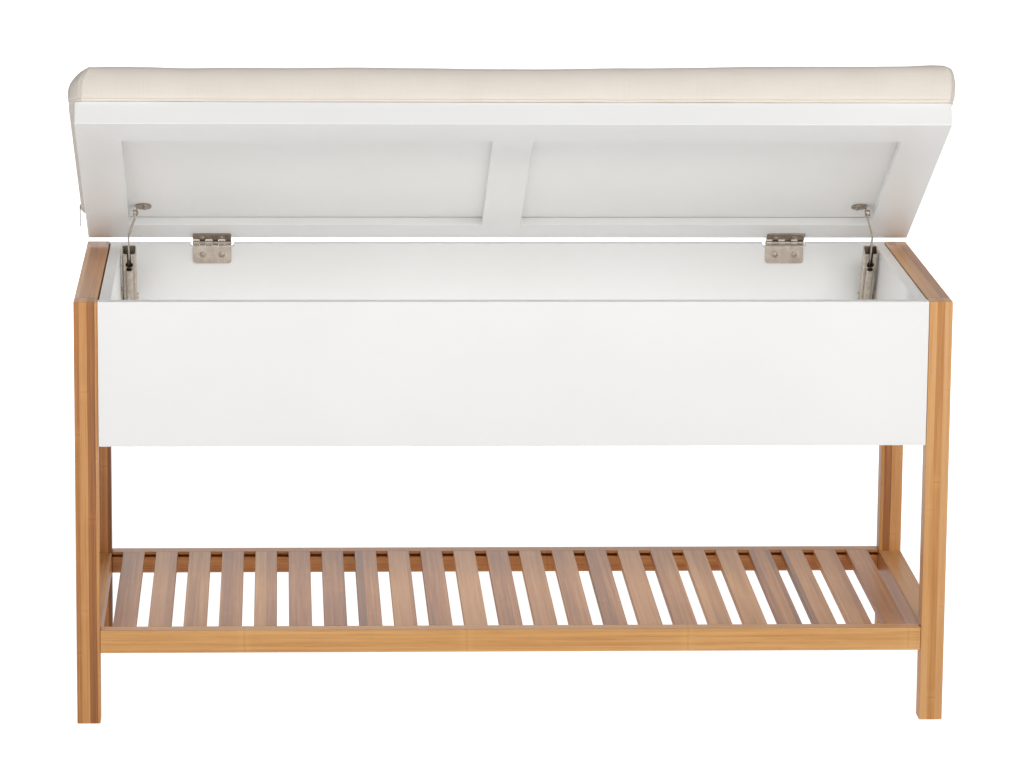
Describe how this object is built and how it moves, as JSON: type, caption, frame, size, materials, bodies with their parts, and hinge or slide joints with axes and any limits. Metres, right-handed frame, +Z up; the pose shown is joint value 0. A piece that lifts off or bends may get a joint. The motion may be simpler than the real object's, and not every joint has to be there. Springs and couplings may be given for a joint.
{
  "type": "storage bench",
  "caption": "Bamboo bench with a slatted shoe shelf, a white storage box under a hinged padded lid held open by sprung stays, and a canvas seat cushion.",
  "frame": {"origin": "on the floor, under the middle of the whole bench with its lid part open", "axes": "+X to the right as one faces the bench, +Y to its back, +Z up"},
  "size_m": [0.9102, 0.3798, 0.6786],
  "materials": {
    "bamboo": "laminated bamboo strips under clear satin lacquer",
    "white_lacquer": "white satin lacquer on fibreboard",
    "canvas": "cream plain-weave cotton canvas",
    "nickel_steel": "satin nickel-plated pressed steel",
    "spring_steel": "drawn steel wire and pin stock",
    "zip_metal": "cast zip slider and pull, satin"
  },
  "bodies": {
    "bench": {"leg_front_left": "bamboo", "leg_back_left": "bamboo", "top_rail_left": "bamboo", "shelf_side_rail_left": "bamboo", "leg_front_right": "bamboo", "leg_back_right": "bamboo", "top_rail_right": "bamboo", "shelf_side_rail_right": "bamboo", "shelf_front_rail": "bamboo", "shelf_back_rail": "bamboo", "shelf_slat_01": "bamboo", "shelf_slat_02": "bamboo", "shelf_slat_03": "bamboo", "shelf_slat_04": "bamboo", "shelf_slat_05": "bamboo", "shelf_slat_06": "bamboo", "shelf_slat_07": "bamboo", "shelf_slat_08": "bamboo", "shelf_slat_09": "bamboo", "shelf_slat_10": "bamboo", "shelf_slat_11": "bamboo", "shelf_slat_12": "bamboo", "shelf_slat_13": "bamboo", "shelf_slat_14": "bamboo", "shelf_slat_15": "bamboo", "shelf_slat_16": "bamboo", "shelf_slat_17": "bamboo", "shelf_slat_18": "bamboo", "shelf_slat_19": "bamboo", "shelf_slat_20": "bamboo", "shelf_slat_21": "bamboo", "shelf_slat_22": "bamboo", "shelf_slat_23": "bamboo", "box_front": "white_lacquer", "box_back": "white_lacquer", "box_side_left": "white_lacquer", "box_side_right": "white_lacquer", "box_floor": "white_lacquer", "hinge_box_leaf_left": "nickel_steel", "hinge_pin_left": "spring_steel", "hinge_box_leaf_right": "nickel_steel", "hinge_pin_right": "spring_steel", "stay_foot_left": "nickel_steel", "stay_foot_right": "nickel_steel"},
    "lid": {"lid_frame": "white_lacquer", "lid_panel_left": "white_lacquer", "lid_panel_right": "white_lacquer", "seat_cushion": "canvas", "hinge_lid_leaf_left": "nickel_steel", "hinge_lid_leaf_right": "nickel_steel", "stay_lid_bracket_left": "nickel_steel", "stay_lid_bracket_right": "nickel_steel"},
    "stay_housing_left": {"stay_housing_left": "nickel_steel", "stay_spring_left": "spring_steel"},
    "stay_housing_right": {"stay_housing_right": "nickel_steel", "stay_spring_right": "spring_steel"},
    "stay_arm_left": {"stay_arm_left": "nickel_steel"},
    "stay_arm_right": {"stay_arm_right": "nickel_steel"},
    "zip_slider": {"zip_slider": "zip_metal"},
    "zip_pull": {"zip_pull": "zip_metal"}
  },
  "joints": [
    {"name": "lid_hinge", "type": "hinge", "parent": "bench", "child": "lid", "pos_m": [0.0026, 0.16381, 0.445], "axis": [-1, 0, 0], "range_deg": [-28.7, 46.9]},
    {"name": "stay_foot_pivot_left", "type": "hinge", "parent": "bench", "child": "stay_housing_left", "pos_m": [-0.4004, 0.14811, 0.389], "axis": [-1, 0, 0], "range_deg": [-18.67, 30.5]},
    {"name": "stay_lid_pivot_left", "type": "hinge", "parent": "lid", "child": "stay_arm_left", "pos_m": [-0.3926, 0.08631, 0.49092], "axis": [-1, 0, 0], "range_deg": [-16.43, 10.05]},
    {"name": "stay_foot_pivot_right", "type": "hinge", "parent": "bench", "child": "stay_housing_right", "pos_m": [0.4056, 0.14811, 0.389], "axis": [-1, 0, 0], "range_deg": [-18.67, 30.5]},
    {"name": "stay_lid_pivot_right", "type": "hinge", "parent": "lid", "child": "stay_arm_right", "pos_m": [0.3978, 0.08631, 0.49092], "axis": [-1, 0, 0], "range_deg": [-16.43, 10.05]},
    {"name": "zip_slide", "type": "slide", "parent": "lid", "child": "zip_slider", "axis": [0, -0.8821, 0.471], "range_m": [0, 0.31]},
    {"name": "zip_pull_swing", "type": "hinge", "parent": "zip_slider", "child": "zip_pull", "pos_m": [-0.4545, 0.15759, 0.48641], "axis": [1, 0, 0], "range_deg": [-75, 75]}
  ],
  "couplings": [
    {"joint": "stay_foot_pivot_left", "follows": "lid_hinge", "ratio": 0.65},
    {"joint": "stay_lid_pivot_left", "follows": "lid_hinge", "ratio": -0.35},
    {"joint": "stay_foot_pivot_right", "follows": "lid_hinge", "ratio": 0.65},
    {"joint": "stay_lid_pivot_right", "follows": "lid_hinge", "ratio": -0.35}
  ]
}
